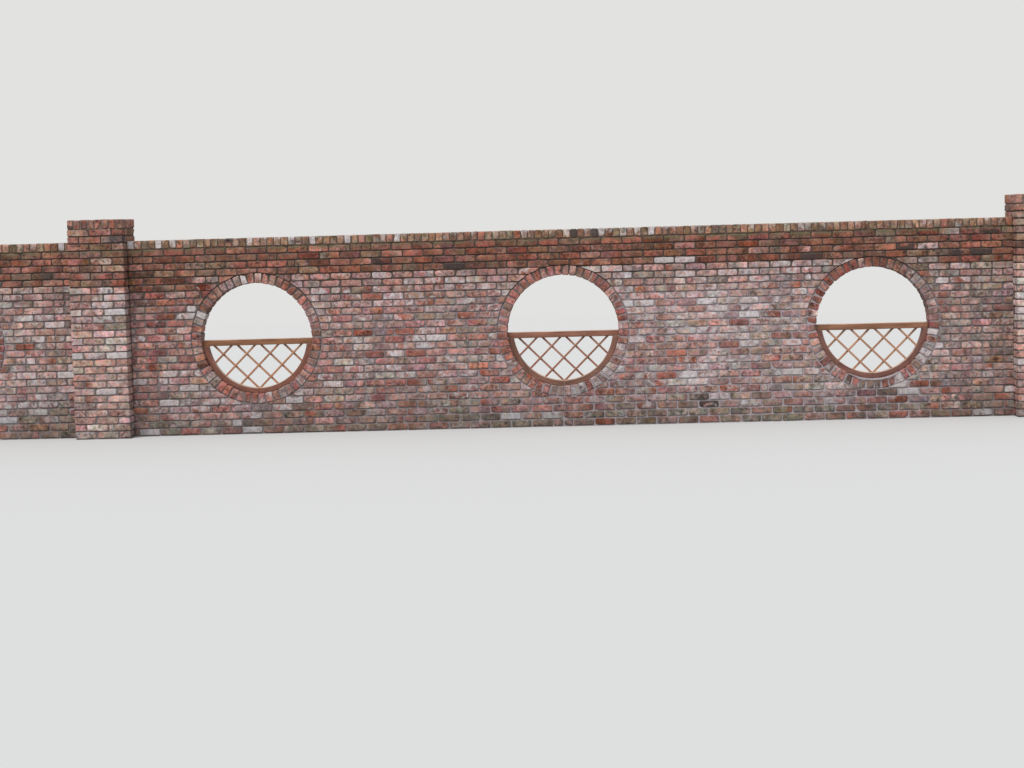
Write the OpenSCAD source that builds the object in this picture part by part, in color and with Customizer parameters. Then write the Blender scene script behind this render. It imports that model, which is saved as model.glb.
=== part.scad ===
// Brick garden wall in two bays between square piers. Each bay has three round openings.
// A ring of bricks on end faces each opening, and a timber trellis fills its lower half.
// X runs along the wall, the front looks towards -Y, and Z is up from the ground.

/* [Brickwork] */
// Height of a course, a brick with the joint under it
course_h = 77.5; // [65:0.5:90]
// Mortar joint under a coping or a capping
bed_joint = 10; // [6:0.5:15]
// Thickness of the wall, one brick long
wall_t = 215; // [190:1:330]

/* [Wall] */
// Clear length of a bay, between the piers
bay_l = 9460; // [9000:10:12000]
// Courses in the wall, under the coping
wall_courses = 26; // [24:1:32]
// Height of the coping bricks, laid on edge
coping_h = 92; // [70:1:130]

/* [Piers] */
// Width of a pier along the wall
pier_w = 600; // [440:5:900]
// Depth of a pier across the wall
pier_d = 600; // [440:5:900]
// Courses in a pier, under the capping
pier_courses = 29; // [28:1:40]
// Height of the capping bricks, laid on edge
cap_h = 98; // [70:1:130]

/* [Openings] */
// Height of the centre of the openings above the ground
opening_z = 1032; // [900:1:1100]
// Shift of the openings to the left of the middle of the bay
opening_shift = 62; // [0:1:200]
// Distance from one opening's centre to the next
opening_pitch = 3306; // [2000:1:3400]
// Radius of the opening inside its ring of bricks
opening_r = 596; // [450:1:650]
// Length of the ring bricks, measured outwards
ring_w = 103; // [90:1:150]
// Height of the ring bricks, measured round the ring
ring_brick = 67.5; // [40:0.5:70]
// Number of bricks in a ring
ring_count = 52; // [40:1:54]
// Mortar bed between the ring and the wall
ring_bed = 7.5; // [4:0.5:15]
// Depth by which the mortar of the ring is set back from its bricks
joint_recess = 5; // [2:0.5:12]

/* [Trellis] */
// Depth of the timber frame across the wall
timber_d = 70; // [45:1:120]
// Height of the top rail
rail_h = 65; // [40:1:90]
// Bevel along the edges of the top rail
rail_bevel = 5; // [1:0.5:12]
// Drop of the top rail's upper face below the centre of the opening
rail_drop = 8; // [0:1:60]
// Width of the curved frame
bow_w = 60; // [40:1:110]
// Bevel along the inner edges of the curved frame
bow_bevel = 6; // [1:0.5:12]
// Number of curved lengths joined end to end in the frame
bow_lengths = 4; // [3:1:7]
// Width of the open joint between two lengths
bow_joint = 2; // [1:0.5:5]
// Depth of the open joint
bow_joint_deep = 4; // [1:0.5:10]
// Face width of a lath
lath_w = 22; // [14:1:40]
// Thickness of a lath
lath_t = 16; // [10:1:22]
// Depth to which two crossing laths are let into each other
lath_lap = 4; // [1:0.5:8]
// Distance between lath crossings along the top rail
lath_pitch = 254; // [140:1:400]

/* [Hidden] */
BAYS = ["left", "right"];
ENDS = ["left", "middle", "right"];
OPENINGS = [1, 2, 3];
$fn = 96;

red_brick = [0.56, 0.34, 0.29];
pale_brick = [0.66, 0.52, 0.46];
dark_brick = [0.46, 0.30, 0.25];
brown_timber = [0.42, 0.29, 0.20];
tan_timber = [0.58, 0.42, 0.28];

past = 5;                                  // how far a cut runs past the face it opens
wall_h = wall_courses * course_h;
pier_h = pier_courses * course_h;
hole_r = opening_r + ring_w + ring_bed;    // the round hole that the ring is built into
lattice_r = opening_r - bow_w;
rail_mid = -rail_drop - rail_h / 2;        // heights in the trellis are measured from its centre
rail_foot = -rail_drop - rail_h;
rail_end = asin(-rail_foot / opening_r);   // how far the bow starts below the level of the centre
lath_step = lath_pitch / sqrt(2);          // distance between crossings along a lath
lath_reach = ceil(lattice_r * sqrt(2) / lath_pitch);
lattice_d = 2 * lath_t - lath_lap;

// Left end of a bay and middle of a pier, along the wall
function bay_x(b) = b == "left" ? -pier_w / 2 - bay_l : pier_w / 2;
function pier_x(e) = (e == "left" ? -1 : e == "right" ? 1 : 0) * (bay_l + pier_w);

// Length of a lath from its place on the rail's middle line down to the curved frame
function lath_run(k) =
    let (along = (k * lath_pitch + rail_mid) / sqrt(2))
    let (square = along * along - pow(k * lath_pitch, 2) - pow(rail_mid, 2) + pow(lattice_r, 2))
    square > 0 ? along + sqrt(square) : 0;

module at_opening(b, n) {
    translate([bay_x(b) + bay_l / 2 - opening_shift + (n - 2) * opening_pitch, 0, opening_z]) children();
}

module disc(r, t) {
    rotate([90, 0, 0]) cylinder(r = r, h = t, center = true);
}

// Everything below the top rail, as wide as the opening
module below_rail(t) {
    translate([-opening_r, -t / 2, -opening_r]) cube([2 * opening_r, t, opening_r + rail_foot]);
}

module pier(e) {
    color(red_brick) translate([pier_x(e) - pier_w / 2, -pier_d / 2, 0]) cube([pier_w, pier_d, pier_h]);
}

module cap(e) {
    color(dark_brick) translate([pier_x(e) - pier_w / 2, -pier_d / 2, pier_h])
        cube([pier_w, pier_d, bed_joint + cap_h]);
}

module wall(b) {
    color(pale_brick) difference() {
        translate([bay_x(b), -wall_t / 2, 0]) cube([bay_l, wall_t, wall_h]);
        for (n = OPENINGS) at_opening(b, n) disc(hole_r, wall_t + 2 * past);
    }
}

module coping(b) {
    color(dark_brick) translate([bay_x(b), -wall_t / 2, wall_h]) cube([bay_l, wall_t, bed_joint + coping_h]);
}

// The joints of the ring: what its bricks leave open between the opening and the wall
module ring_joints() {
    difference() {
        disc(hole_r + past, joint_recess + past);
        disc(opening_r - past, joint_recess + 3 * past);
        for (i = [0 : ring_count - 1])
            rotate([0, (i + 0.5) * 360 / ring_count, 0])
                translate([-ring_brick / 2, -joint_recess - past, opening_r - 2 * past])
                    cube([ring_brick, 2 * (joint_recess + past), ring_w + 2 * past]);
    }
}

module ring(b, n) {
    color(red_brick) at_opening(b, n) difference() {
        disc(hole_r, wall_t);
        disc(opening_r, wall_t + 2 * past);
        for (side = [-1, 1]) translate([0, side * (wall_t - joint_recess + past) / 2, 0]) ring_joints();
    }
}

module rail(b, n) {
    half = timber_d / 2;
    color(brown_timber) at_opening(b, n) intersection() {
        disc(opening_r, timber_d);
        translate([-opening_r, 0, 0]) rotate([90, 0, 90]) linear_extrude(2 * opening_r) polygon([
            [-half + rail_bevel, rail_foot], [half - rail_bevel, rail_foot],
            [half, rail_foot + rail_bevel], [half, -rail_drop - rail_bevel],
            [half - rail_bevel, -rail_drop], [-half + rail_bevel, -rail_drop],
            [-half, -rail_drop - rail_bevel], [-half, rail_foot + rail_bevel]
        ]);
    }
}

// A joint between two lengths of the bow, open on its front, back and inner faces
module bow_gap() {
    difference() {
        translate([lattice_r - past, -timber_d / 2 - past, -bow_joint / 2])
            cube([bow_w + 2 * past, timber_d + 2 * past, bow_joint]);
        translate([lattice_r + bow_joint_deep, -timber_d / 2 + bow_joint_deep, -bow_joint])
            cube([bow_w + 2 * past, timber_d - 2 * bow_joint_deep, 2 * bow_joint]);
    }
}

// The bevel along the inner edge of the bow's front, as a cone that is cut away
module bow_edge() {
    translate([0, bow_bevel + past - timber_d / 2, 0]) rotate([90, 0, 0])
        cylinder(r1 = lattice_r - past, r2 = lattice_r + bow_bevel + past, h = bow_bevel + 2 * past);
}

module bow(b, n) {
    length = (180 - 2 * rail_end) / bow_lengths;
    color(brown_timber) at_opening(b, n) difference() {
        intersection() {
            difference() {
                disc(opening_r, timber_d);
                disc(lattice_r, timber_d + 2 * past);
            }
            below_rail(timber_d);
        }
        bow_edge();
        rotate([0, 0, 180]) bow_edge();
        for (i = [1 : bow_lengths - 1]) rotate([0, rail_end + i * length, 0]) bow_gap();
    }
}

// Laths lean one way in the front layer and the other way in the layer behind it. A lath is
// left out where it would end before it reaches its first crossing.
module laths(lean, side) {
    for (k = [-lath_reach : lath_reach]) if (lath_run(k) > lath_step + lath_w)
        translate([-lean * k * lath_pitch, side * (lath_t - lath_lap) / 2, rail_mid])
            rotate([0, lean * 45, 0]) cube([4 * opening_r, lath_t, lath_w], center = true);
}

// The third trellis of a bay is fixed with its other side to the front
module lattice(b, n) {
    turn = n == 3 ? -1 : 1;
    color(tan_timber) at_opening(b, n) intersection() {
        union() {
            laths(-1, -turn);
            laths(1, turn);
        }
        disc(lattice_r, lattice_d);
        below_rail(lattice_d);
    }
}

for (e = ENDS) {
    pier(e);
    cap(e);
}
for (b = BAYS) {
    wall(b);
    coping(b);
    for (n = OPENINGS) {
        ring(b, n);
        rail(b, n);
        bow(b, n);
        lattice(b, n);
    }
}
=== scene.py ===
import math
import random

import bmesh
import bpy
from mathutils import Matrix, Vector, noise


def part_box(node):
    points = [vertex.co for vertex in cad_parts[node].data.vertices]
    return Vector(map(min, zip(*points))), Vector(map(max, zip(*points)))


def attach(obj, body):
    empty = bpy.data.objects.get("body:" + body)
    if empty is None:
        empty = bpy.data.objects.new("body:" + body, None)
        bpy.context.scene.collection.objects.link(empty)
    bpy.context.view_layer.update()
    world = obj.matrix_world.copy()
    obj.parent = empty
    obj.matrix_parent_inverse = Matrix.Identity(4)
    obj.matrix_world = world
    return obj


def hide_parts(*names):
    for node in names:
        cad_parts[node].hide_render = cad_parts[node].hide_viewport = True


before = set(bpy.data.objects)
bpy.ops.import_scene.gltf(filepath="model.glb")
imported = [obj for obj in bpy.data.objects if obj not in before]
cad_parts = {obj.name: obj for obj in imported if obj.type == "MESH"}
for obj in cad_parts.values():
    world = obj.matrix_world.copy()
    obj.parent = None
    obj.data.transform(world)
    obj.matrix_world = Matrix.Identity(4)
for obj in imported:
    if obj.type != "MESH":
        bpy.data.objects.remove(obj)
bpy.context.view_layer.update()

scene = bpy.context.scene
dice = random.Random(26)
noise.seed_set(4)  # without it the noise vectors differ from run to run
bays = ("left", "right")
ends = ("left", "middle", "right")
openings = (1, 2, 3)
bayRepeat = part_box("wall_right")[0].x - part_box("wall_left")[0].x  # from one bay to the next


# A colour as it is seen on a screen, each part from 0 to 255
def tone(red, green, blue):
    parts = [c / 255 for c in (red, green, blue)]
    return tuple(c / 12.92 if c < 0.04 else ((c + 0.055) / 1.055) ** 2.4 for c in parts) + (1.0,)


# Materials

# Adds a node to a material or to the world. An input takes a value or another node's output.
def put(mat, kind, inputs=None, **fields):
    node = mat.node_tree.nodes.new("ShaderNode" + kind)
    for key, value in fields.items():
        setattr(node, key, value)
    for key, value in (inputs or {}).items():
        if isinstance(value, bpy.types.NodeSocket):
            mat.node_tree.links.new(value, node.inputs[key])
        else:
            node.inputs[key].default_value = value
    return node


def calc(mat, operation, a, b=0.0):
    return put(mat, "Math", {0: a, 1: b}, operation=operation).outputs[0]


def times(mat, a, b):
    return calc(mat, "MULTIPLY", a, b)


def spots(mat, place, scale, detail=3.0, rough=0.55, twist=0.0):
    inputs = {"Vector": place, "Scale": scale, "Detail": detail, "Roughness": rough, "Distortion": twist}
    return put(mat, "TexNoise", inputs).outputs["Fac"]


# Turns a value from low to high into one from 0 to 1, or into the given pair, with soft ends
def ease(mat, value, low, high, to=(0.0, 1.0)):
    inputs = {"Value": value, "From Min": low, "From Max": high, "To Min": to[0], "To Max": to[1]}
    return put(mat, "MapRange", inputs, interpolation_type="SMOOTHSTEP").outputs["Result"]


def mixed(mat, share, a, b, mode="MIX"):
    return put(mat, "Mix", {0: share, 6: a, 7: b}, data_type="RGBA", blend_type=mode).outputs[2]


def attribute(mat, name):
    return put(mat, "Attribute", attribute_name=name).outputs


def objectPlace(mat):
    return put(mat, "TexCoord").outputs["Object"]


def moved(mat, place, shift, operation="ADD"):
    return put(mat, "VectorMath", {0: place, 1: shift}, operation=operation).outputs[0]


# Multiplies a colour by a shade between a dark and a light one. The shades are given with the two
# values at which they are reached.
def shaded(mat, color, value, shades, share=1.0):
    low, high, dark, light = shades
    shade = mixed(mat, ease(mat, value, low, high), dark + (1.0,), light + (1.0,))
    return mixed(mat, share, color, shade, "MULTIPLY")


def pitted(mat, place, scale, low, high):
    pits = put(mat, "TexVoronoi", {"Vector": place, "Scale": scale})
    return ease(mat, pits.outputs["Distance"], low, high)


def newMaterial(name, roughness, specular):
    mat = bpy.data.materials.new(name)
    mat.use_nodes = True
    shader = mat.node_tree.nodes["Principled BSDF"]
    shader.inputs["Roughness"].default_value = roughness
    shader.inputs["Specular IOR Level"].default_value = specular
    return mat, shader


# Joins a colour and a bump to the material's shader
def wire(mat, color, shader, height, strength, distance):
    bump = put(mat, "Bump", {"Height": height, "Strength": strength, "Distance": distance})
    mat.node_tree.links.new(color, shader.inputs["Base Color"])
    mat.node_tree.links.new(bump.outputs["Normal"], shader.inputs["Normal"])


brickFinish = {
    "bloom": tone(190, 181, 180),  # lime and old paint left on the face
    "paleBloom": tone(210, 206, 206),
    "bloomShare": 0.78,
    "soot": tone(62, 54, 52),  # burnt ends and kiln marks
    "sootShare": 0.88,
    "smear": tone(112, 102, 99),  # mortar dragged over the arrises
    "olive": tone(100, 96, 70),  # a stain under the coping, between the heights below
    "oliveFrom": (1.97, 2.012),
    "oliveTo": (2.02, 2.045),
    "mottle": 27.0,  # blotches per metre, and then other marks
    "hue": 20.0,
    "patch": 10.0,
    "fleck": 55.0,
    "sand": 190.0,
    "ragged": 60.0,
    "pits": 75.0,
    "rain": 1.3,
    "cloud": 7.0,
    "bump": (0.75, 0.0022),  # strength, and depth in metres
    # Shades of the clay, as (low, high, dark shade, light shade)
    "blotches": (0.24, 0.62, (0.2, 0.19, 0.18), (1.33, 1.32, 1.31)),
    "redder": (0.34, 0.66, (0.92, 1.03, 1.05), (1.16, 0.92, 0.89)),
    "straw": (0.34, 0.66, (1.0, 0.99, 1.08), (1.01, 1.02, 0.89)),
    "drift": (0.34, 0.66, (0.72, 0.72, 0.71), (1.25, 1.24, 1.24)),
    "grain": (0.3, 0.7, (0.68, 0.67, 0.66), (1.3, 1.3, 1.3)),
    "rained": (0.3, 0.7, (0.9, 0.9, 0.88), (1.06, 1.05, 1.05)),
    "darkening": (0.1, 1.0, (0.62, 0.64, 0.66), (1.0, 1.0, 1.0)),  # darker towards the foot of the wall, by height
}


# Every brick carries its own clay colour in "clay", and in "wear" its bloom, soot, seed and arris
def brickMaterial():
    f = brickFinish
    mat, shader = newMaterial("worn brick", 0.9, 0.25)
    clay = attribute(mat, "clay")["Color"]
    wear = attribute(mat, "wear")
    bloom, soot, seed = put(mat, "SeparateColor", {"Color": wear["Color"]}).outputs
    arris = wear["Alpha"]
    wallPlace = objectPlace(mat)
    away = times(mat, seed, 83.0)
    shift = put(mat, "CombineXYZ", {0: away, 1: away, 2: away}).outputs[0]
    place = moved(mat, wallPlace, shift)

    # The clay, with lighter, redder and yellower places
    blotch = spots(mat, place, f["mottle"], 4.0, 0.56, 0.3)
    uneven = ease(mat, calc(mat, "FRACT", times(mat, seed, 7.3)), 0.0, 1.0, (0.5, 1.0))
    color = shaded(mat, clay, blotch, f["blotches"], uneven)
    hue = spots(mat, moved(mat, place, (7.3, 2.9, 5.1)), f["hue"], 3.0, 0.5, 0.2)
    color = shaded(mat, color, hue, f["redder"])
    straw = spots(mat, moved(mat, place, (1.9, 8.2, 3.6)), f["hue"], 4.0, 0.6)
    color = shaded(mat, color, straw, f["straw"])
    drift = spots(mat, moved(mat, place, (4.4, 9.7, 6.3)), f["patch"], 3.0, 0.5)
    color = shaded(mat, color, drift, f["drift"])

    # Flecks, lime and burnt marks
    fleck = spots(mat, place, f["fleck"], 2.0, 0.5)
    flecked = times(mat, ease(mat, fleck, 0.58, 0.74), ease(mat, bloom, 0.0, 0.8, (0.1, 0.5)))
    color = mixed(mat, flecked, color, f["bloom"])
    patch = spots(mat, place, f["patch"], 6.0, 0.66, 0.9)
    edge = calc(mat, "SUBTRACT", 0.78, times(mat, bloom, 0.5))
    limed = ease(mat, calc(mat, "SUBTRACT", patch, edge), -0.08, 0.16)
    flour = mixed(mat, ease(mat, blotch, 0.35, 0.65), f["bloom"], f["paleBloom"])
    color = mixed(mat, times(mat, limed, f["bloomShare"]), color, flour)
    burnt = spots(mat, moved(mat, place, (3.1, 4.7, 1.9)), f["patch"], 5.0, 0.6, 0.5)
    line = calc(mat, "SUBTRACT", 0.76, times(mat, soot, 0.5))
    charred = ease(mat, calc(mat, "SUBTRACT", burnt, line), -0.03, 0.08)
    color = mixed(mat, times(mat, charred, f["sootShare"]), color, f["soot"])

    # Grain, and mortar on the arrises
    sand = spots(mat, place, f["sand"], 3.0, 0.6)
    rough = times(mat, calc(mat, "ADD", sand, spots(mat, place, f["fleck"], 4.0, 0.75)), 0.5)
    color = shaded(mat, color, rough, f["grain"])
    ragged = calc(mat, "ADD", arris, times(mat, spots(mat, place, f["ragged"], 3.0), 0.9))
    color = mixed(mat, ease(mat, ragged, 0.9, 1.5, (0.0, 0.6)), color, f["smear"])

    # Rain, darkening towards the foot of the wall, and the stain under the coping, which run on from brick
    # to brick
    rain = spots(mat, wallPlace, f["rain"], 4.0, 0.6)
    color = shaded(mat, color, rain, f["rained"])
    height = put(mat, "SeparateXYZ", {0: wallPlace}).outputs[2]
    color = shaded(mat, color, calc(mat, "ADD", height, times(mat, rain, 0.5)), f["darkening"])
    cloud = ease(mat, spots(mat, wallPlace, f["cloud"], 5.0, 0.65), 0.38, 0.6, (0.1, 0.8))
    under = ease(mat, height, *f["oliveTo"], (1.0, 0.0))
    stained = times(mat, ease(mat, height, *f["oliveFrom"]), under)
    color = mixed(mat, times(mat, stained, cloud), color, f["olive"])

    # Relief
    hole = pitted(mat, place, f["pits"], 0.05, 0.4)
    fine = calc(mat, "ADD", times(mat, sand, 0.35), times(mat, hole, 0.35))
    relief = calc(mat, "ADD", fine, times(mat, blotch, 1.1))
    wire(mat, color, shader, relief, *f["bump"])
    return mat


mortarFinish = {
    "low": tone(124, 113, 111),  # the lighter mortar of the lower courses
    "high": tone(80, 67, 59),  # the dark mortar above it
    "change": (1.2, 1.75),  # heights between which one turns into the other
    "grit": tone(152, 144, 139),
    "darkening": tone(90, 81, 78),
    "dry": tone(166, 154, 156),  # paler mortar along a stretch of each bay
    "dryFrom": (1.5, 7.0),
    "dryTo": (8.7, 9.2),
    "bleached": tone(158, 148, 134),  # on top of the coping and the cappings
    "bleachedFrom": (9.0, 9.1),  # higher than the wall, so that only they have it
    "pits": 120.0,  # per metre
    "bump": (1.0, 0.004),
}
freshFinish = mortarFinish | {"low": tone(196, 186, 176), "darkening": tone(170, 160, 150)}
copingFinish = mortarFinish | {"high": tone(98, 80, 68), "bleachedFrom": (2.098, 2.112)}
capFinish = mortarFinish | {"high": tone(116, 100, 88), "bleachedFrom": (2.335, 2.349)}


def mortarMaterial(name, f):
    mat, shader = newMaterial(name, 0.95, 0.2)
    place = objectPlace(mat)
    parts = put(mat, "SeparateXYZ", {0: place}).outputs
    along = calc(mat, "FLOORED_MODULO", parts[0], bayRepeat)
    height = parts[2]
    dry = times(mat, ease(mat, along, *f["dryFrom"]), ease(mat, along, *f["dryTo"], (1.0, 0.0)))
    cloud = spots(mat, place, 4.0, 5.0, 0.65, 0.4)
    color = mixed(mat, ease(mat, cloud, 0.5, 0.75, (0.0, 0.6)), f["low"], f["darkening"])
    color = mixed(mat, dry, color, f["dry"])
    color = mixed(mat, ease(mat, height, *f["change"]), color, f["high"])
    color = mixed(mat, ease(mat, height, *f["bleachedFrom"]), color, f["bleached"])
    grit = spots(mat, place, 230.0, 3.0, 0.7)
    color = mixed(mat, ease(mat, grit, 0.5, 0.8, (0.0, 0.4)), color, f["grit"])
    lumps = calc(mat, "ADD", spots(mat, place, 48.0, 4.0, 0.6), times(mat, grit, 0.5))
    hollows = times(mat, pitted(mat, place, f["pits"], 0.1, 0.5), 0.3)
    wire(mat, color, shader, calc(mat, "ADD", lumps, hollows), *f["bump"])
    return mat


woodFinish = {
    "weather": tone(150, 132, 116),
    "lines": (5.0, 90.0, 90.0),  # how fine the grain is along and across a member
    "broad": (2.0, 14.0, 14.0),
    "worn": (6.0, 30.0, 30.0),
    "lightLine": (1.16, 1.16, 1.16),
    "broadShades": (0.3, 0.7, (0.8, 0.78, 0.76), (1.14, 1.14, 1.14)),
    "bump": (0.6, 0.0012),
}


# A member carries its own colour in "stain", and in "grain" places measured along and across it
def woodMaterial(name, dark):
    f = woodFinish
    mat, shader = newMaterial(name, 0.62, 0.35)
    stain = attribute(mat, "stain")["Color"]
    place = attribute(mat, "grain")["Vector"]
    lines = spots(mat, moved(mat, place, f["lines"], "MULTIPLY"), 1.0, 4.0, 0.6, 0.4)
    broad = spots(mat, moved(mat, place, f["broad"], "MULTIPLY"), 1.0, 3.0, 0.5, 1.2)
    color = shaded(mat, stain, lines, (0.3, 0.7, (dark, dark, dark), f["lightLine"]))
    color = shaded(mat, color, broad, f["broadShades"])
    worn = spots(mat, moved(mat, place, f["worn"], "MULTIPLY"), 1.0, 4.0, 0.7)
    color = mixed(mat, ease(mat, worn, 0.58, 0.8, (0.0, 0.5)), color, f["weather"])
    wire(mat, color, shader, lines, *f["bump"])
    return mat


def nailMaterial():
    mat, shader = newMaterial("nail", 0.55, 0.5)
    shader.inputs["Metallic"].default_value = 0.75
    rust = spots(mat, objectPlace(mat), 300.0, 3.0)
    color = mixed(mat, ease(mat, rust, 0.4, 0.6), tone(92, 84, 78), tone(110, 70, 48))
    wire(mat, color, shader, rust, 0.4, 0.0005)
    return mat


brickLook = brickMaterial()
mortarLook = mortarMaterial("lime mortar", mortarFinish)
freshLook = mortarMaterial("fresh mortar", freshFinish)
copingMortarLook = mortarMaterial("coping mortar", copingFinish)
capMortarLook = mortarMaterial("capping mortar", capFinish)
frameLook = woodMaterial("frame timber", 0.7)
lathLook = woodMaterial("lath timber", 0.78)
nailLook = nailMaterial()
print("materials ready")


# Makes an object of a finished bmesh, and hands it to the frame
def finishPiece(name, shape, look, nodes, evenShading=True):
    mesh = bpy.data.meshes.new(name)
    shape.to_mesh(mesh)
    shape.free()
    mesh.materials.append(look)
    piece = bpy.data.objects.new(name, mesh)
    scene.collection.objects.link(piece)
    if evenShading:
        mesh.shade_smooth()
        piece.modifiers.new("weighted normals", "WEIGHTED_NORMAL").weight = 80
    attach(piece, "root")
    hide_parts(*nodes)


def everythingIn(shape):
    return shape.verts[:] + shape.edges[:] + shape.faces[:]


# Cuts away what lies beyond a plane, and closes the cut
def trim(shape, point, outward):
    found = bmesh.ops.bisect_plane(shape, geom=everythingIn(shape), plane_co=point, plane_no=outward,
                                   clear_outer=True)
    rim = [e for e in found["geom_cut"] if isinstance(e, bmesh.types.BMEdge)]
    if rim:
        bmesh.ops.holes_fill(shape, edges=rim)


def block(size, placing):
    shape = bmesh.new()
    bmesh.ops.create_cube(shape, size=1.0)
    bmesh.ops.scale(shape, vec=size, verts=shape.verts)
    bmesh.ops.transform(shape, matrix=placing, verts=shape.verts)
    return shape


# A solid bent round the Y axis: an outline of radii and depths, swept from a start by a turn
def swept(outline, start, turn, steps):
    shape = bmesh.new()
    shape.faces.new([shape.verts.new((radius, y, 0)) for radius, y in outline])
    bmesh.ops.rotate(shape, cent=(0, 0, 0), matrix=Matrix.Rotation(start, 3, "Y"), verts=shape.verts)
    bmesh.ops.spin(shape, geom=everythingIn(shape), cent=(0, 0, 0), axis=(0, 1, 0), angle=turn, steps=steps)
    bmesh.ops.recalc_face_normals(shape, faces=shape.faces)
    return shape


# Adds points to a shape where a plane crosses it
def score(shape, point, across):
    bmesh.ops.bisect_plane(shape, geom=everythingIn(shape), plane_co=point, plane_no=across)


def softenEdges(shape, edges, offset, segments=2):
    bmesh.ops.bevel(shape, geom=edges, offset=offset, offset_type="OFFSET", segments=segments, profile=0.5,
                    affect="EDGES", clamp_overlap=True, loop_slide=True, material=-1)
    shape.normal_update()


# Edges where two faces meet at more than the given angle, in radians
def sharpEdges(shape, least=0.5):
    shape.normal_update()
    return [e for e in shape.edges if len(e.link_faces) == 2 and e.calc_face_angle(0.0) > least]


# Edges that run through the wall, from front to back
def throughEdges(shape):
    return [e for e in shape.edges if abs((e.verts[1].co - e.verts[0].co).normalized().y) > 0.9]


def turned(angle, axis):
    return Matrix.Rotation(math.radians(angle), 4, axis)


# Bricks

brickShape = {
    "corner": (0.008, 0.019),  # rounding of a face's corners
    "arris": 0.0065,  # rounding of the edges round a face
    "uneven": (0.8, 1.3),  # how much the rounding varies from brick to brick
    "stride": 0.055,  # distance between the places where an edge may wander
    "wander": 0.004,  # how far it wanders
    "waves": 26,  # how quickly it wanders
    "twoTone": 0.6,  # how many bricks change colour along their length
    "chipReach": 0.028,
    "chipDeep": 0.006,
    "chips": 2,  # most dented corners
    "leastShare": 0.09,  # smallest share of a brick that is kept after a cut
    "skin": 0.0004,  # a point this near to a flat side counts as on it
    "topBloomAndHighlight": 0.14,  # how much more bloom the coping bricks have towards their tops: partly lime, partly a painted highlight along the top
    "weathered": tone(104, 86, 74),  # tone of the coping bricks' tops, with its share and most bloom
    "weatheredShare": 0.45,
    "weatheredBloom": 0.3,
    "redder": (8, 52),  # how much redder than green a brick is at least, and at most
    "nudge": (("Y", 0.5), ("X", 0.6), ("Z", 0.4)),  # how crooked a brick may lie, in degrees
}
# For each family of bricks: the middle tone, the spread of lightness and of redness from brick to
# brick, how far the lighter ones are redder, and the shares of odd bricks of each kind. Then the
# least and most bloom, the chance of a heavy bloom, and the chance of soot.
clayFamilies = {
    "top": ((124, 85, 70), 11, 10, 0.0, (0.014, 0.008, 0.06), 0.0, 0.25, 0.01, 0.015),
    "left": ((149, 116, 108), 17, 11, -0.3, (0.008, 0.07, 0.1), 0.0, 0.4, 0.04, 0.008),
    "middle": ((153, 123, 117), 11, 9.5, -0.5, (0.0, 0.03, 0.07), 0.12, 0.6, 0.05, 0.001),
    "faded": ((155, 130, 124), 12, 9, -0.3, (0.0, 0.04, 0.04), 0.15, 0.65, 0.06, 0.001),
    "right": ((143, 120, 113), 14, 8, 0.0, (0.0, 0.035, 0.03), 0.1, 0.5, 0.04, 0.001),
    "bottom": ((145, 125, 114), 12, 9, 0.0, (0.0, 0.02, 0.05), 0.0, 0.3, 0.03, 0.001),
    "pier": ((172, 147, 141), 15, 9, -0.2, (0.0, 0.05, 0.04), 0.1, 0.55, 0.1, 0.006),
    "pierFoot": ((176, 146, 137), 15, 9, -0.2, (0.0, 0.04, 0.06), 0.05, 0.45, 0.08, 0.004),
    "pierTop": ((132, 100, 86), 14, 8, 0.0, (0.05, 0.03, 0.06), 0.0, 0.3, 0.03, 0.02),
    "coping": ((135, 107, 88), 13, 9, 0.0, (0.02, 0.03, 0.03), 0.05, 0.5, 0.045, 0.015),
    "cap": ((146, 107, 94), 9, 8, 0.0, (0.01, 0.01, 0.05), 0.0, 0.35, 0.04, 0.01),
    "ring": ((145, 102, 93), 12, 9, 0.0, (0.01, 0.02, 0.04), 0.0, 0.42, 0.012, 0.01),
    "darkRing": ((119, 77, 65), 10, 8, 0.0, (0.04, 0.0, 0.04), 0.0, 0.2, 0.01, 0.02),
    "pale": ((143, 126, 122), 14, 7, -0.3, (0.0, 0.08, 0.0), 0.3, 0.65, 0.15, 0.01),
}
oddTones = ((80, 67, 63), (169, 149, 142), (156, 100, 84))  # burnt, limewashed and orange
carrier = bpy.data.meshes.new("carrier")


# The clay of one brick, and its bloom, soot and seed
def pickTone(family):
    middle, spread, redSpread, link, odd, low, high, heavy, sooty = clayFamilies[family]
    middle = dice.choices((middle,) + oddTones, (1 - sum(odd),) + odd)[0]
    light = dice.gauss(0.0, 1.0)
    warm = redSpread * (link * light + math.sqrt(1 - link ** 2) * dice.gauss(0.0, 1.0))
    redder = middle[0] - middle[1]
    least, most = brickShape["redder"]
    warm = min(most - redder, max(least - redder, warm))
    shift = (spread * light + 0.66 * warm, spread * light - 0.34 * warm,
             spread * light - 0.34 * warm + dice.gauss(0.8, 3.6))
    bloom = dice.uniform(0.65, 0.95) if dice.random() < heavy else dice.uniform(low, high)
    soot = dice.uniform(0.5, 0.95) if dice.random() < sooty else dice.uniform(0.0, 0.15)
    clay = tone(*(min(250, max(20, c + s)) for c, s in zip(middle, shift)))
    return Vector(clay), (bloom, soot, dice.random())
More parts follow.
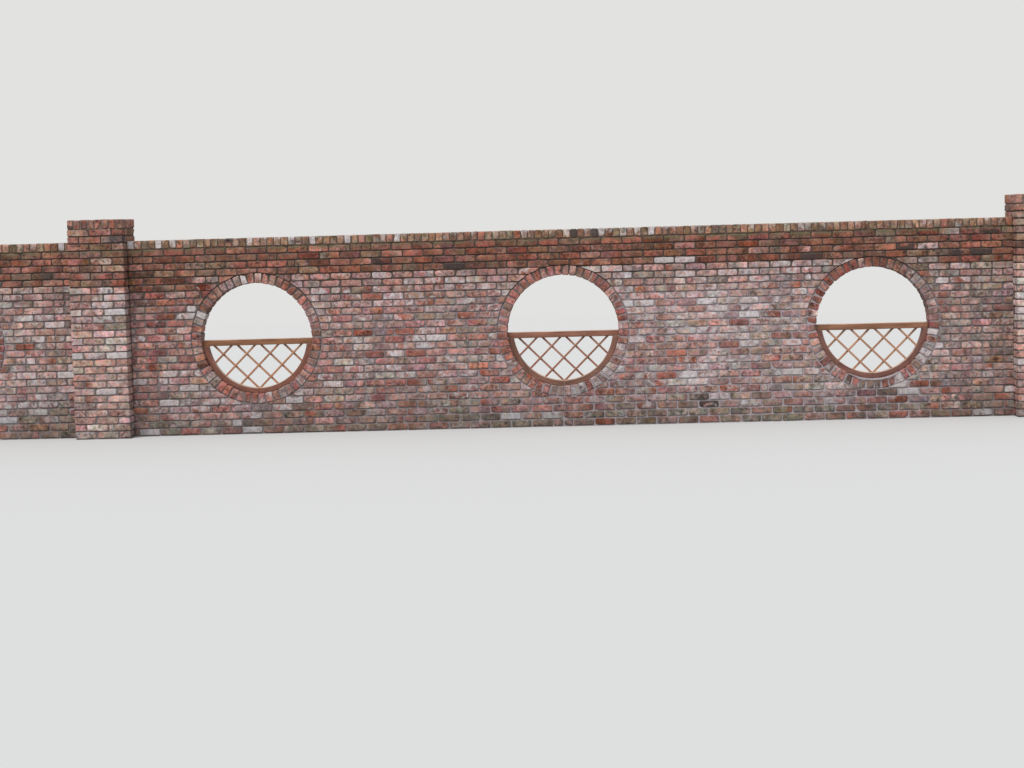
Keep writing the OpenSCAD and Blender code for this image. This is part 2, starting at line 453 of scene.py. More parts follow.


# Gives the points of a brick their clay and wear. Coping bricks, which have a rounded foot, are weathered
# on top, and their faces grow paler towards the top: partly lime bloom, partly a painted highlight.
def paintBrick(brick, size, family, foot):
    f = brickShape
    half = size / 2
    long = 0 if size.x > size.z else 2
    tint, (bloom, soot, seed) = pickTone(family)
    other = pickTone(family)[0] if dice.random() < f["twoTone"] else tint
    turn, side = dice.uniform(-0.6, 0.6), dice.choice((-1, 1))
    clay = brick.verts.layers.float_color.new("clay")
    wear = brick.verts.layers.float_color.new("wear")
    # coping and capping bricks grow paler towards their tops: partly lime, partly a painted highlight
    rise = f["topBloomAndHighlight"] if foot else 0.0
    for v in brick.verts:
        flat = any(abs(v.co[i]) > half[i] - f["skin"] for i in range(3))
        upper = foot and v.co.z > half.z - f["skin"]
        share = side * v.co[long] / half[long] - turn
        color = tint.lerp(other, min(1.0, max(0.0, 0.5 + 1.4 * share)))
        v[clay] = color.lerp(Vector(f["weathered"]), f["weatheredShare"] if upper else 0.0)
        here = max(0.0, bloom + rise * v.co.z / half.z)
        v[wear] = (min(f["weatheredBloom"], here) if upper else here, soot, seed, 0.0 if flat else 1.0)


# Lets the sides of a brick wander, and dents up to two corners of its shown face
def wearBrick(brick, half):
    f = brickShape
    start = Vector([dice.random() for _ in range(3)]) * 60
    corners = [Vector((dice.choice((-1, 1)), -1, dice.choice((-1, 1))))
               for _ in range(dice.randint(0, f["chips"]))]
    for v in brick.verts:
        push = noise.noise_vector(v.co * f["waves"] + start) * f["wander"]
        for corner in corners:
            near = 1 - (v.co - corner * half).length / f["chipReach"]
            if near > 0:
                push -= corner * near * f["chipDeep"]
        v.co += push


# A worn brick round the origin, with its shown face towards -Y: a block, cut to fit, with
# rounded arrises and chipped corners. A whole brick is rounded on every side, and the foot is
# the rounding of its lower corners.
def moldBrick(size, family, cuts=(), whole=False, foot=0.0):
    f = brickShape
    brick = block(size, Matrix())
    for point, outward in cuts:
        trim(brick, point, outward)
    if len(brick.faces) < 4 or brick.calc_volume() < f["leastShare"] * size.x * size.y * size.z:
        brick.free()
        return None
    if not whole:
        softenEdges(brick, throughEdges(brick), dice.uniform(*f["corner"]))
    elif foot:
        lower = [e for e in throughEdges(brick) if e.verts[0].co.z < 0]
        softenEdges(brick, lower, foot * dice.uniform(0.7, 1.3), 3)
    axis = max(range(3), key=lambda i: size[i]) if whole else 0
    steps = max(1, round(size[axis] / f["stride"]))
    for i in range(1, steps):
        point, across = Vector((0, 0, 0)), Vector((0, 0, 0))
        point[axis] = size[axis] * (i / steps - 0.5) + dice.uniform(-0.006, 0.006)
        across[axis] = 1.0
        score(brick, point, across)
    brick.normal_update()
    if whole:
        edges = sharpEdges(brick, 0.9)
    else:
        face = {b for b in brick.faces if b.normal.y < -0.99}
        edges = [e for e in brick.edges if len(face.intersection(e.link_faces)) == 1]
    softenEdges(brick, edges, f["arris"] * dice.uniform(*f["uneven"]))
    paintBrick(brick, size, family, foot)
    wearBrick(brick, size / 2)
    return brick


# Adds a finished shape to the others of a piece
def addTo(stack, shape):
    shape.to_mesh(carrier)
    shape.free()
    stack.from_mesh(carrier)


def addBrick(stack, brick, placing):
    if brick is not None:
        bmesh.ops.transform(brick, matrix=placing, verts=brick.verts)
        addTo(stack, brick)


def nudged():
    turn = Matrix()
    for axis, most in brickShape["nudge"]:
        turn = turn @ turned(dice.uniform(-most, most), axis)
    return turn


# Walls

wallSize = {
    "course": 0.0775,
    "brickHigh": 0.0655,
    "brickDeep": 0.1025,
    "joint": 0.010,
    "gap": 0.0125,  # upright joint between worn bricks
    "topGap": 0.0095,  # the same in the top courses, with their sharper bricks
    "topCourses": 4,
    "recess": 0.011,  # how far the mortar lies behind the faces of the bricks
    "pitch": 0.224,  # one brick and one joint along a course
    "firstBricks": (0.048, 0.160),  # what shows of the first brick in even and in odd courses
    "leastLast": 0.05,  # shortest last brick of a course
    "splitShare": 0.035,  # how often two shorter bricks stand for one
    "splitFrom": 0.18,  # the shortest brick that they may stand for
    "splitAt": (0.5, 0.52, 0.66, 0.33),
    "sway": 0.004,  # how far a course wanders up and down
    # How far the courses halfway up lie too high: at the left end, more for each metre, and at most
    "lift": (0.007, 0.0028, 0.031),
    "faceSlack": 0.0022,
    "leastCut": 0.085,  # shortest piece of brick left beside a ring
    "ringGap": 0.002,  # how far outside the mortar of a ring the bricks are cut
    "cutDepth": 0.45,  # where a straight cut lies, from the chord to the arc
}
clayZones = {  # families of clay along a bay, and at its head and foot
    "leftTo": (0.0, 0.7, 1.9),  # ends of a family: below a height, that height, and above it
    "middleTo": (6.6, 0.95, 5.3),
    # in the left bay the faded stretch runs on to the middle pier, so the stub beside it is paler: partly
    # its greyer clay, partly painted light against the pier's shade
    "fadedTo": (9.8, 8.6),  # in the left bay and in the right one
    "wander": 0.3,  # how far beyond an end a brick may still belong to its family
    "darkCourses": ((0.3, 5), (1.0, 6), (1.8, 3.5), (8.9, 4), (math.inf, 5)),  # up to each place
    "footCourses": (2, 4),  # courses of the foot's family, and courses with some of it
    "footShare": 0.4,
}


# What the frame says of an opening and of its ring
def openingOf(bay, n):
    low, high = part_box(f"ring_{bay}_{n}")
    center = (low + high) / 2
    inner = center.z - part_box(f"bow_{bay}_{n}")[0].z
    return {"center": center, "outer": (high.x - low.x) / 2, "inner": inner, "front": low.y,
            "deep": high.y - low.y}


# The bands of darker brick at the head and the foot of the wall, or None between them
def bandAt(x, z, wallTop):
    f = clayZones
    courses = next(many for upTo, many in f["darkCourses"] if x % bayRepeat < upTo)
    if z > wallTop - wallSize["course"] * courses:
        return "top"
    sure, some = f["footCourses"]
    if z < sure * wallSize["course"] or (z < some * wallSize["course"] and dice.random() < f["footShare"]):
        return "bottom"
    return None


# Which family of clay a brick of a wall belongs to, by its place
def familyAt(x, z, wallTop):
    f = clayZones
    along = x % bayRepeat + dice.gauss(0.0, f["wander"])
    limits = [above if z > change else below for below, change, above in (f["leftTo"], f["middleTo"])]
    limits.append(f["fadedTo"][1 if x > 0 else 0])
    zone = ("left", "middle", "faded", "right")[sum(along >= limit for limit in limits)]
    return bandAt(x, z, wallTop) or zone


# Moves an upright joint away from a ring, so that no sliver of brick is left between them
def clearOfRings(along, height, holes):
    for center, reach in holes:
        rise = abs(height - center.z)
        if rise < reach:
            away = along - center.x
            edge = math.sqrt(reach ** 2 - rise ** 2)
            if 0 < abs(away) - edge < wallSize["leastCut"]:
                return center.x + math.copysign(edge + wallSize["leastCut"], away)
    return along


# The plane along which a brick is cut to leave room for a ring, or None. The brick is dropped
# where the ring takes all of it.
def ringCut(middle, size, hole):
    center, reach = hole
    inside = []
    steps = 240
    for step in range(steps):
        angle = math.tau * step / steps
        x, z = center.x + reach * math.cos(angle), center.z + reach * math.sin(angle)
        if abs(x - middle.x) < size.x / 2 and abs(z - middle.z) < size.z / 2:
            inside.append(angle)
    if not inside:
        away = math.hypot(middle.x - center.x, middle.z - center.z)
        return "drop" if away < reach else None
    first = inside[0]
    turns = [(a - first + math.pi) % math.tau - math.pi for a in inside]
    bearing = first + (max(turns) + min(turns)) / 2
    chord = reach * math.cos((max(turns) - min(turns)) / 2)
    distance = chord + wallSize["cutDepth"] * (reach - chord)
    outward = Vector((math.cos(bearing), 0, math.sin(bearing)))
    point = Vector((center.x, 0, center.z)) + outward * distance - Vector((middle.x, 0, middle.z))
    return point, -outward


# How far a course lies above its even place
def courseLift(along, height, top):
    start, rise, most = wallSize["lift"]
    return min(most, start + rise * along) * math.sin(math.pi * min(1.0, height / top))


# Places of the bricks of a course, as starts and ends
def courseSpans(i, courses, length, top, holes):
    f = wallSize
    height = (i + 0.5) * f["course"]
    joints = [f["firstBricks"][i % 2]]
    while joints[-1] + f["pitch"] < length - f["leastLast"]:
        joints.append(joints[-1] + f["pitch"])
    joints = [clearOfRings(j, height + courseLift(j, i * f["course"], top), holes) for j in joints]
    joints = [0.0] + [j + dice.uniform(-0.005, 0.005) for j in joints] + [length + f["joint"] / 2]
    gap = f["topGap"] if i >= courses - f["topCourses"] else f["gap"]
    spans = []
    for a, b in zip(joints, joints[1:]):
        start = a + (gap if a > 0 else 0.002)
        if b - start > f["splitFrom"] and dice.random() < f["splitShare"]:
            cut = start + (b - start) * dice.choice(f["splitAt"])
            spans += [(start, cut - gap / 2), (cut + gap / 2, b)]
        else:
            spans.append((start, b))
    return spans


# Bricks of one face of a bay. Places are measured along the face from its left end as seen from
# outside, so the back is laid like the front and turned round.
def layFace(bay, back):
    f = wallSize
    low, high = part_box(f"wall_{bay}")
    length, top = high.x - low.x, high.z
    courses = round(top / f["course"])
    placing = Matrix.Translation((low.x, low.y, 0))
    if back:
        placing = Matrix.Translation((high.x, high.y, 0)) @ turned(180, "Z")
    holes = []
    for n in openings:
        opening = openingOf(bay, n)
        center = opening["center"]
        along = high.x - center.x if back else center.x - low.x
        holes.append((Vector((along, 0, center.z)), opening["outer"] + f["ringGap"]))
    stack = bmesh.new()
    for i in range(courses):
        for a, b in courseSpans(i, courses, length, top, holes):
            foot, head = i * f["course"], (i + 1) * f["course"]
            foot += courseLift((a + b) / 2, foot, top)
            head += courseLift((a + b) / 2, head, top)
            tall = f["brickHigh"] + (head - foot - f["course"]) * 0.7
            size = Vector((b - a, f["brickDeep"], tall + dice.uniform(-0.0025, 0.002)))
            sway = f["sway"] * noise.noise(Vector((a * 0.6, i * 0.3, 4.0 if back else 9.0)))
            sway *= math.sin(math.pi * i / courses)
            middle = Vector(((a + b) / 2, f["brickDeep"] / 2 + dice.uniform(0, f["faceSlack"]),
                             head - tall / 2 - 0.001 + sway))
            cuts = [c for c in (ringCut(middle, size, h) for h in holes) if c]
            if "drop" in cuts:
                continue
            x = (placing @ middle).x
            brick = moldBrick(size, familyAt(x, middle.z, top), cuts)
            addBrick(stack, brick, placing @ Matrix.Translation(middle) @ nudged())
    return stack


# Adds the mortar that the bricks of a node stand in: the node's own solid, a little slimmer
def fillMortar(node, recess, look, topDrop=0.0):
    low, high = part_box(node)
    middle, half = (low + high) / 2, (high - low) / 2
    core = bmesh.new()
    core.from_mesh(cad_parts[node].data)
    bmesh.ops.remove_doubles(core, verts=core.verts, dist=0.00001)
    for v in core.verts:
        for i in range(3):
            v.co[i] = middle[i] + (v.co[i] - middle[i]) * (1 - recess[i] / half[i])
        if topDrop and v.co.z > high.z - 0.001:
            v.co.z -= topDrop
    finishPiece(f"{node}_mortar", core, look, [node], evenShading=False)


for bay in bays:
    node = f"wall_{bay}"
    finishPiece(f"{node}_front_bricks", layFace(bay, False), brickLook, [node])
    finishPiece(f"{node}_back_bricks", layFace(bay, True), brickLook, [node])
    fillMortar(node, (0, wallSize["recess"], 0), mortarLook)
    print("wall laid:", bay)


# Coping

copingSize = {
    "thick": 0.0695,  # bricks on edge, with their long side through the wall
    "pitch": 0.0757,
    "recess": 0.010,
    "topSlack": 0.002,
    "mortarDrop": 0.010,
    "foot": 0.010,  # rounding of the lower corners of the bricks
}


def layCoping(node):
    f = copingSize
    low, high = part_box(node)
    count = round((high.x - low.x) / f["pitch"])
    pitch = (high.x - low.x) / count
    stack = bmesh.new()
    for i in range(count):
        size = Vector((f["thick"] + dice.uniform(-0.003, 0.002), high.y - low.y - 0.002,
                       high.z - low.z - wallSize["joint"] + dice.uniform(-0.004, 0.0)))
        top = high.z - dice.uniform(0, f["topSlack"])
        middle = Vector((low.x + (i + 0.5) * pitch, dice.uniform(-0.0015, 0.0015), top - size.z / 2))
        brick = moldBrick(size, "coping", whole=True, foot=f["foot"])
        addBrick(stack, brick, Matrix.Translation(middle) @ nudged())
    return stack


for bay in bays:
    node = f"coping_{bay}"
    finishPiece(f"{node}_bricks", layCoping(node), brickLook, [node])
    fillMortar(node, (0, copingSize["recess"], 0), copingMortarLook, copingSize["mortarDrop"])
    print("coping laid:", bay)


# Rings

ringSize = {
    "count": 52,
    "along": 0.0675,  # size of a brick round the ring
    "radial": 0.103,
    "groove": 0.008,  # width and depth of the raked joint round the ring
    "grooveDeep": 0.009,
    "lowFill": 0.6,  # how far the groove is filled round the lower half
    "soffitRecess": 0.011,
    "steps": 104,
}
# Stretches of a ring with other bricks: from and to, in degrees clockwise from the top, the share
# of such bricks, and their family
ringPatches = {
    1: ((110, 180, 0.5, "middle"), (215, 285, 0.35, "left"), (285, 300, 0.8, "pale"),
        (330, 360, 0.6, "middle")),
    2: ((70, 128, 0.3, "middle"), (128, 172, 0.9, "pale"), (172, 250, 0.4, "middle")),
    3: ((0, 30, 0.8, "darkRing"), (30, 85, 0.5, "right"), (95, 140, 0.6, "pale"), (95, 265, 0.6, "right"),
        (280, 345, 0.6, "darkRing"), (345, 360, 0.8, "darkRing")),
}


# A ring of bricks on end round an opening
def layRing(bay, n):
    f = ringSize
    opening = openingOf(bay, n)
    stack = bmesh.new()
    for i in range(f["count"]):
        size = Vector((f["along"] + dice.uniform(-0.004, 0.002), opening["deep"] - 0.002,
                       f["radial"] + dice.uniform(-0.003, 0.003)))
        radius = opening["inner"] + size.z / 2 + dice.uniform(0.0, 0.002)
        angle = (i + 0.5) * 360 / f["count"] + dice.uniform(-0.25, 0.25)
        outwards = Matrix.Translation((0, 0, radius))
        placing = Matrix.Translation(opening["center"]) @ turned(angle, "Y") @ outwards
        family = "ring"
        for first, last, share, other in ringPatches[n]:
            if first < angle < last and dice.random() < share:
                family = other
        addBrick(stack, moldBrick(size, family, whole=True), placing @ nudged())
    return stack


# The mortar between the bricks of a ring, with a groove along its outer edge
def ringMortar(bay, n):
    f = ringSize
    opening = openingOf(bay, n)
    deep = opening["deep"] / 2 - wallSize["recess"] + 0.002
    bottom = deep - f["grooveDeep"]
    rim = opening["outer"]
    shoulder = rim - f["groove"]
    hollow = opening["inner"] + f["soffitRecess"]
    ring = bmesh.new()
    corners = [ring.verts.new((radius, y, 0)) for radius, y in (
        (hollow, -deep), (shoulder, -deep), (shoulder, -bottom), (rim, -bottom),
        (rim, bottom), (shoulder, bottom), (shoulder, deep), (hollow, deep))]
    for a, b in zip(corners, corners[1:] + corners[:1]):
        ring.edges.new((a, b))
    bmesh.ops.spin(ring, geom=everythingIn(ring), cent=(0, 0, 0), axis=(0, 1, 0), angle=math.tau,
                   steps=f["steps"], use_merge=True)
    bmesh.ops.remove_doubles(ring, verts=ring.verts, dist=0.00001)
    bmesh.ops.recalc_face_normals(ring, faces=ring.faces)
    for v in ring.verts:
        if abs(abs(v.co.y) - bottom) < 0.0001:
            full = min(1.0, max(0.0, 0.5 - v.co.z / 0.6))
            v.co.y = math.copysign(bottom + (deep - bottom) * full * f["lowFill"], v.co.y)
    bmesh.ops.translate(ring, vec=opening["center"], verts=ring.verts)
    return ring


for bay in bays:
    for n in openings:
        node = f"ring_{bay}_{n}"
        finishPiece(f"{node}_bricks", layRing(bay, n), brickLook, [node])
        mortar = ringMortar(bay, n)
        finishPiece(f"{node}_mortar", mortar, mortarLook, [node], evenShading=False)
print("rings laid")


# Piers and their cappings

pierSize = {
    "long": 0.229,
    "end": 0.118,  # depth of a corner brick, which shows round the corner
    "joint": 0.012,
    "inset": 0.001,  # how far a corner brick lies inside both faces
    "footTo": 0.85,  # height up to which the bricks are redder
    "capRow": 8,
    "capDeep": (0.212, 0.160, 0.212),
    "capJoint": 0.008,
}


def layPier(node):
    f = pierSize
    low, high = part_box(node)
    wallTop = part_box("wall_left")[1].z  # the dark courses begin where they do in the wall
    middle = (low + high) / 2
    half = (high.x - low.x) / 2
    stack = bmesh.new()
    for i in range(round(high.z / wallSize["course"])):
        flip = -1 if i % 2 else 1  # the corner brick is on the left in even courses
        z = (i + 1) * wallSize["course"] - wallSize["brickHigh"] / 2
        for side in range(4):
            around = Matrix.Translation((middle.x, middle.y, 0)) @ turned(90 * side, "Z")
            for corner in (True, False):
                wide = f["long"]
                deep = f["end"] if corner else wallSize["brickDeep"]
                left = -half + (f["inset"] if corner else wide + f["joint"])
                size = Vector((wide - dice.uniform(0, 0.003), deep,
                               wallSize["brickHigh"] + dice.uniform(-0.0025, 0.002)))
                inset = f["inset"] if corner else dice.uniform(0, wallSize["faceSlack"])
                place = Vector((flip * (left + wide / 2), -half + deep / 2 + inset, z))
                dark = bandAt(0.0, z, wallTop) == "top"
                family = "pierTop" if dark else "pierFoot" if z < f["footTo"] else "pier"
                brick = moldBrick(size, family, whole=corner)
                addBrick(stack, brick, around @ Matrix.Translation(place) @ nudged())
    return stack


# Three rows of bricks on edge, of which the middle one is shorter
def layCap(node):
    f = pierSize
    low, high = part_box(node)
    pitch = (high.x - low.x) / f["capRow"]
    stack = bmesh.new()
    y = low.y
    for deep in f["capDeep"]:
        for i in range(f["capRow"]):
            size = Vector((pitch - f["capJoint"] - dice.uniform(0, 0.004), deep - 0.002,
                           high.z - low.z - wallSize["joint"] - dice.uniform(0, 0.004)))
            x = low.x + (i + 0.5) * pitch + (i / (f["capRow"] - 1) - 0.5) * f["capJoint"]
            top = high.z - dice.uniform(0, 0.004)
            place = Vector((x, y + deep / 2, top - size.z / 2))
            brick = moldBrick(size, "cap", whole=True, foot=copingSize["foot"])
            addBrick(stack, brick, Matrix.Translation(place) @ nudged())
        y += deep + f["capJoint"]
    return stack


for end in ends:
    recess = (wallSize["recess"], wallSize["recess"], 0)
    pier, cap = f"pier_{end}", f"cap_{end}"
    finishPiece(f"{pier}_bricks", layPier(pier), brickLook, [pier])
    fillMortar(pier, recess, mortarLook)
    finishPiece(f"{cap}_bricks", layCap(cap), brickLook, [cap])
    fillMortar(cap, recess, capMortarLook, copingSize["mortarDrop"])
    print("pier built:", end)


# Trellis

trellis = {
    "lengths": 4,  # curved lengths in the bow
    "gap": 0.0015,  # joint between two of them
    "pastRail": 0.12,  # turn by which the outer ones run past the rail, to be trimmed
    "bowEdge": 0.0025,  # rounding of the bow, the rail and the laths
    "railEdge": 0.007,
    "lathEdge": 0.0018,
    "bowBevel": 0.006,
    "warp": 0.0012,  # how far the rail is out of true
    "scoring": 0.125,  # distance between the places where it may bend
    "bleached": tone(204, 178, 158),  # faces that look up: paler from the weather, and a painted highlight where the sky lights them
    "bleachAndSkyHighlight": 0.75,
    "lathWide": 0.022,
    "lathThick": 0.016,
    "lathPitch": 0.254,
    "layer": 0.006,  # how far the middle of a layer lies before or behind the middle
    "seat": 0.006,  # how far a lath runs into the bow
    "reach": 4,  # most laths on either side of the middle
    "nailRadius": 0.0032,
    "nailProud": 0.0012,
}
stains = {  # rail, bow and laths of each opening
    1: (tone(138, 94, 65), tone(127, 82, 67), tone(166, 116, 84)),
    2: (tone(139, 93, 74), tone(123, 86, 71), tone(146, 96, 76)),
    3: (tone(146, 101, 76), tone(123, 84, 73), tone(172, 124, 94)),
}


# Writes the colour of a member and the run of its grain, which lies along the given direction. Faces that
# look up are made paler: partly weathering, partly a painted highlight from the sky.
def paintMember(shape, stain, along):
    color = shape.verts.layers.float_color.new("stain")
    grain = shape.verts.layers.float_vector.new("grain")
    across = Vector((-along.z, 0, along.x))
    start = Vector([dice.uniform(0, 9) for _ in range(3)])
    light = dice.gauss(1.0, 0.04)
    shade = Vector([part * light for part in stain[:3]] + [1.0])
    shape.normal_update()
    for v in shape.verts:
        # faces that look up grow paler: partly bleached by the weather, partly a painted highlight of the
        # sky's light
        up = min(1.0, max(0.0, (v.normal.z - 0.3) / 0.35))
        v[color] = shade.lerp(Vector(trellis["bleached"]), up * trellis["bleachAndSkyHighlight"])
        v[grain] = Vector((v.co.dot(along), v.co.dot(across), v.co.y)) + start


# The sizes of a trellis, read from the frame. Heights are measured from the opening's middle.
def trellisOf(bay, n):
    opening = openingOf(bay, n)
    center = opening["center"]
    low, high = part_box(f"rail_{bay}_{n}")
    return {"center": center, "radius": opening["inner"], "deep": high.y - low.y,
            "railHigh": high.z - low.z, "railFoot": low.z - center.z,
            "railMiddle": (high.z + low.z) / 2 - center.z,
            "latticeRadius": center.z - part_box(f"lattice_{bay}_{n}")[0].z}


def makeRail(bay, n):
    t = trellisOf(bay, n)
    f = trellis
    middle, radius = t["railMiddle"], t["radius"]
    rail = block((2 * radius + 0.1, t["deep"], t["railHigh"]), Matrix.Translation((0, 0, middle)))
    lean = math.asin(middle / radius)
    for side in (-1, 1):
        outward = Vector((side * math.cos(lean), 0, math.sin(lean)))
        trim(rail, outward * radius, outward)
    for i in range(-4, 5):
        score(rail, (i * f["scoring"], 0, 0), (1, 0, 0))
    softenEdges(rail, sharpEdges(rail), f["railEdge"])
    for v in rail.verts:
        v.co += noise.noise_vector(v.co * 3 + Vector((n * 7.0, 0, 3))) * f["warp"]
    paintMember(rail, stains[n][0], Vector((1, 0, 0)))
    bmesh.ops.translate(rail, vec=t["center"], verts=rail.verts)
    return rail


def makeBow(bay, n):
    t = trellisOf(bay, n)
    f = trellis
    start = math.asin(-t["railFoot"] / t["radius"])
    step = (math.pi - 2 * start) / f["lengths"]
    half, bevel, inside, outside = t["deep"] / 2, f["bowBevel"], t["latticeRadius"], t["radius"] - 0.0005
    outline = ((inside, bevel - half), (inside + bevel, -half), (outside, -half),
               (outside, half), (inside + bevel, half), (inside, half - bevel))
    gap = f["gap"] / t["radius"] / 2
    stack = bmesh.new()
    for i in range(f["lengths"]):
        first, last = i == 0, i == f["lengths"] - 1
        a = start + i * step + (-f["pastRail"] if first else gap)
        b = start + (i + 1) * step - (-f["pastRail"] if last else gap)
        part = swept(outline, a, b - a, 9)
        if first or last:
            trim(part, Vector((0, 0, t["railFoot"])), Vector((0, 0, 1)))
        softenEdges(part, sharpEdges(part), f["bowEdge"])
        bearing = start + (i + 0.5) * step
        paintMember(part, stains[n][1], Vector((math.sin(bearing), 0, math.cos(bearing))))
        bmesh.ops.translate(part, vec=t["center"], verts=part.verts)
        addTo(stack, part)
    return stack


# How far a lath runs from the rail's middle line down to the bow
def lathRun(k, t):
    aside, middle = k * trellis["lathPitch"], t["railMiddle"]
    along = (aside + middle) / math.sqrt(2)
    square = along ** 2 - aside ** 2 - middle ** 2 + t["latticeRadius"] ** 2
    return along + math.sqrt(square) if square > 0 else 0.0


# The third trellis of a bay has its other side to the front
def makeLattice(bay, n):
    t = trellisOf(bay, n)
    f = trellis
    layer = -f["layer"] if n == 3 else f["layer"]
    shortest = f["lathPitch"] / math.sqrt(2) + f["lathWide"]
    laid = [k for k in range(-f["reach"], f["reach"] + 1) if lathRun(k, t) > shortest]
    stack = bmesh.new()
    for side in (-1, 1):
        down = Vector((side, 0, -1)) / math.sqrt(2)
        for k in laid:
            run = lathRun(k, t) + f["seat"]
            top = Vector((-side * k * f["lathPitch"], side * layer, t["railMiddle"]))
            place = Matrix.Translation(top + down * (run / 2)) @ turned(45 * side, "Y")
            lath = block((run + 0.1, f["lathThick"], f["lathWide"]), place)
            trim(lath, Vector((0, 0, t["railFoot"] + 0.002)), Vector((0, 0, 1)))
            end = top + down * run
            outward = Vector((end.x, 0, end.z)).normalized()
            trim(lath, outward * (t["latticeRadius"] + f["seat"]), outward)
            softenEdges(lath, sharpEdges(lath), f["lathEdge"], 1)
            paintMember(lath, stains[n][2], down)
            bmesh.ops.translate(lath, vec=t["center"], verts=lath.verts)
            addTo(stack, lath)
    return stack, laid


# A nail on either side of each crossing
def makeNails(bay, n, laid):
    t = trellisOf(bay, n)
    f = trellis
    stack = bmesh.new()
    for a in laid:
        for b in laid:
            x = (a - b) * f["lathPitch"] / 2
            z = t["railMiddle"] - (a + b) * f["lathPitch"] / 2
            if z > t["railFoot"] - 0.02 or math.hypot(x, z) > t["latticeRadius"] - 0.015:
                continue
            for side in (-1, 1):
                y = side * (f["layer"] + f["lathThick"] / 2)
                nail = bmesh.new()
                bmesh.ops.create_cone(nail, cap_ends=True, segments=8, radius1=f["nailRadius"],
                                      radius2=f["nailRadius"] * 0.7, depth=2 * f["nailProud"])
                placing = Matrix.Translation(t["center"] + Vector((x + dice.uniform(-0.003, 0.003), y, z)))
                bmesh.ops.transform(nail, matrix=placing @ turned(-90 * side, "X"), verts=nail.verts)
                addTo(stack, nail)
    return stack


smear = {
    "inner": 0.001,  # how far inside the ring it begins
    "wide": 0.026,
    "proud": 0.0015,
    "deep": 0.02,
    "from": 62.0,  # degrees below the level of the centre, from the right
    "to": 116.0,
    "taper": 14.0,  # degrees over which it runs out at each end
    "steps": 30,
    "edge": 0.0015,
}


# Pale mortar, left over the ends of the ring bricks below the bow of the third opening
def makeSmear(bay, n):
    f = smear
    opening = openingOf(bay, n)
    face = opening["front"] - f["proud"]
    back, inside, wide = face + f["deep"], opening["inner"] - f["inner"], f["wide"]
    outline = ((inside, face), (inside + wide * 0.5, face), (inside + wide, face), (inside + wide, back),
               (inside, back))
    shape = swept(outline, math.radians(f["from"]), math.radians(f["to"] - f["from"]), f["steps"])
    for v in shape.verts:
        flat = Vector((v.co.x, 0, v.co.z))
        past = (flat.length - opening["inner"]) / wide
        bearing = math.degrees(math.atan2(-v.co.z, v.co.x))
        taper = min(1.0, (bearing - f["from"]) / f["taper"], (f["to"] - bearing) / f["taper"])
        ragged = noise.noise(v.co * 30) * 0.35
        if past > 0.2:
            v.co -= flat.normalized() * wide * past * max(0.0, 0.75 - 0.7 * max(0.0, taper) + ragged)
        if v.co.y < face + 0.001:
            v.co.y += abs(noise.noise(v.co * 45)) * 0.002
    softenEdges(shape, sharpEdges(shape), f["edge"], 1)
    bmesh.ops.translate(shape, vec=Vector((opening["center"].x, 0, opening["center"].z)), verts=shape.verts)
    return shape


for bay in bays:
    finishPiece(f"ring_{bay}_3_smear", makeSmear(bay, 3), freshLook, [f"ring_{bay}_3"])
    for n in openings:
        rail, bow, lattice = f"rail_{bay}_{n}", f"bow_{bay}_{n}", f"lattice_{bay}_{n}"
        finishPiece(f"{rail}_timber", makeRail(bay, n), frameLook, [rail])
        finishPiece(f"{bow}_timber", makeBow(bay, n), frameLook, [bow])
        laths, laid = makeLattice(bay, n)
        finishPiece(f"{lattice}_laths", laths, lathLook, [lattice], evenShading=False)
        nails = makeNails(bay, n, laid)
        finishPiece(f"{lattice}_nails", nails, nailLook, [lattice], evenShading=False)
print("trellis built")


# Floor, light and camera

stageSize = {
    "radius": 90.0,
    "paper": tone(226, 226, 224),
    "floor": tone(184, 183, 180),
    "bounce": tone(119, 120, 119),  # a darker floor, for the light that it throws on the wall
    "fadeFrom": 16.0,  # distance from the middle at which the floor turns into backdrop
    "fadeTo": 34.0,
}


# 1 for what the camera sees, also in metal and glass, and 0 for bounced light
def seenDirectly(mat):
    rays = put(mat, "LightPath").outputs
    either = calc(mat, "MAXIMUM", rays["Is Camera Ray"], rays["Is Glossy Ray"])
    return calc(mat, "MAXIMUM", either, rays["Is Transmission Ray"])


def floorMaterial():
    f = stageSize
    mat, shader = newMaterial("floor", 0.9, 0.1)
    place = objectPlace(mat)
    direct = seenDirectly(mat)
    mat.node_tree.links.new(mixed(mat, direct, f["bounce"], f["floor"]), shader.inputs["Base Color"])
    glow = put(mat, "Emission", {"Color": f["paper"], "Strength": 1.0})
    flat = put(mat, "VectorMath", {0: place}, operation="LENGTH").outputs["Value"]
    far = times(mat, ease(mat, flat, f["fadeFrom"], f["fadeTo"]), direct)
    mix = put(mat, "MixShader", {0: far, 1: shader.outputs[0], 2: glow.outputs[0]})
    mat.node_tree.links.new(mix.outputs[0], mat.node_tree.nodes["Material Output"].inputs["Surface"])
    return mat


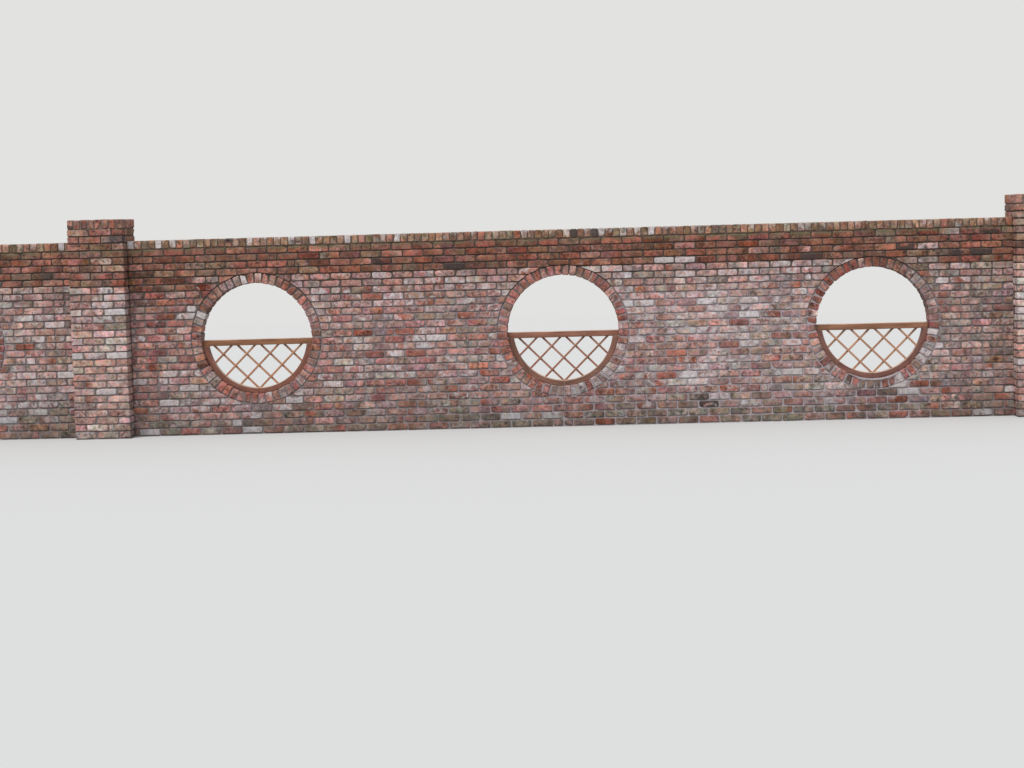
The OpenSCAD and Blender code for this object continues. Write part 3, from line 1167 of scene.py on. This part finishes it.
floorShape = bmesh.new()
bmesh.ops.create_circle(floorShape, cap_ends=True, segments=96, radius=stageSize["radius"])
floorMesh = bpy.data.meshes.new("floor")
floorShape.to_mesh(floorMesh)
floorShape.free()
floorMesh.materials.append(floorMaterial())
floor = bpy.data.objects.new("floor", floorMesh)
scene.collection.objects.link(floor)

lightSize = {
    "sky": (0.92, 0.965, 1.04, 1.0),
    "skyStrength": 0.78,
    "sunStrength": 3.0,
    "sunAngle": 40.0,  # a wide, hazy sun
    "sunBearing": -24.0,  # degrees from the wall's front, to the left
    "sunHeight": 58.0,
}

world = bpy.data.worlds.new("studio")
scene.world = world
world.use_nodes = True
skyNodes = world.node_tree.nodes
background = skyNodes["Background"]
background.inputs["Color"].default_value = lightSize["sky"]
background.inputs["Strength"].default_value = lightSize["skyStrength"]
paper = put(world, "Background", {"Color": stageSize["paper"], "Strength": 1.0})
choose = put(world, "MixShader", {0: seenDirectly(world), 1: background.outputs[0], 2: paper.outputs[0]})
world.node_tree.links.new(choose.outputs[0], skyNodes["World Output"].inputs["Surface"])

sun = bpy.data.lights.new("hazy sun", "SUN")
sun.energy = lightSize["sunStrength"]
sun.angle = math.radians(lightSize["sunAngle"])
sunObject = bpy.data.objects.new("hazy sun", sun)
sunObject.matrix_world = turned(lightSize["sunBearing"], "Z") @ turned(90 - lightSize["sunHeight"], "X")
scene.collection.objects.link(sunObject)

cameraSize = {
    "place": (5.171, -21.826, 2.076),
    "focal": 2027.0,  # pixels, in a picture 1024 wide
    "yaw": -2.02,
    "pitch": 4.22,
    "roll": -1.574,
}
cameraData = bpy.data.cameras.new("camera")
cameraData.sensor_width = 36.0
cameraData.lens = 36.0 * cameraSize["focal"] / 1024
cameraData.clip_end = 400.0
camera = bpy.data.objects.new("camera", cameraData)
scene.collection.objects.link(camera)
camera.matrix_world = (Matrix.Translation(cameraSize["place"]) @ turned(-cameraSize["yaw"], "Z")
                       @ turned(90 - cameraSize["pitch"], "X") @ turned(cameraSize["roll"], "Z"))
scene.camera = camera
scene.view_settings.view_transform = "Standard"
print("stage set")
